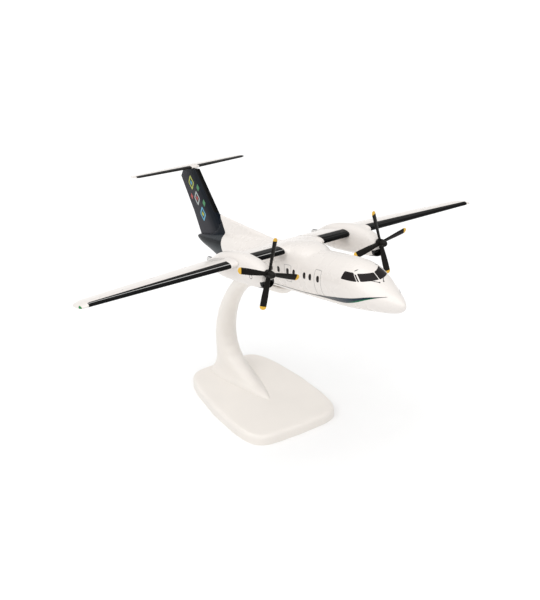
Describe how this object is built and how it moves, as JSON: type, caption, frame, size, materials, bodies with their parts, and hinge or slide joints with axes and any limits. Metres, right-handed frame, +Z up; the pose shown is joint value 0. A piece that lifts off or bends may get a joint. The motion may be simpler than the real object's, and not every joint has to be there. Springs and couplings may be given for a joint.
{
  "type": "turboprop airliner display model on a stand",
  "caption": "Small-scale plastic display model of a high-wing, T-tail turboprop airliner with turning propellers, held nose-up on a curved one-armed desk stand.",
  "frame": {"origin": "centre of the stand's flat underside", "axes": "+X towards the nose, +Y to port, +Z up"},
  "size_m": [0.2312, 0.2606, 0.1455],
  "materials": {
    "white_plastic": "glossy white moulded plastic",
    "navy_paint": "dark navy satin print on plastic",
    "black_plastic": "black moulded plastic, satin",
    "stand_plastic": "off-white moulded plastic, soft gloss"
  },
  "bodies": {
    "airframe_and_stand": {"fuselage": "white_plastic", "fin": "navy_paint", "tailplane": "white_plastic", "wing_inner_starboard": "white_plastic", "wing_inner_port": "white_plastic", "wing_outer_starboard": "white_plastic", "wing_outer_port": "white_plastic", "nacelle_starboard": "white_plastic", "nacelle_port": "white_plastic", "exhaust_starboard": "white_plastic", "exhaust_port": "white_plastic", "stand_arm": "stand_plastic", "stand_base": "stand_plastic"},
    "starboard_propeller": {"propeller_starboard": "black_plastic", "spinner_starboard": "black_plastic"},
    "port_propeller": {"propeller_port": "black_plastic", "spinner_port": "black_plastic"}
  },
  "joints": [
    {"name": "starboard_propeller_spin", "type": "hinge", "parent": "airframe_and_stand", "child": "starboard_propeller", "pos_m": [0.07375, -0.0368, 0.12701], "axis": [0.9865, 0, 0.1636], "continuous": true},
    {"name": "port_propeller_spin", "type": "hinge", "parent": "airframe_and_stand", "child": "port_propeller", "pos_m": [0.07375, 0.0368, 0.12701], "axis": [0.9865, 0, 0.1636], "continuous": true}
  ]
}
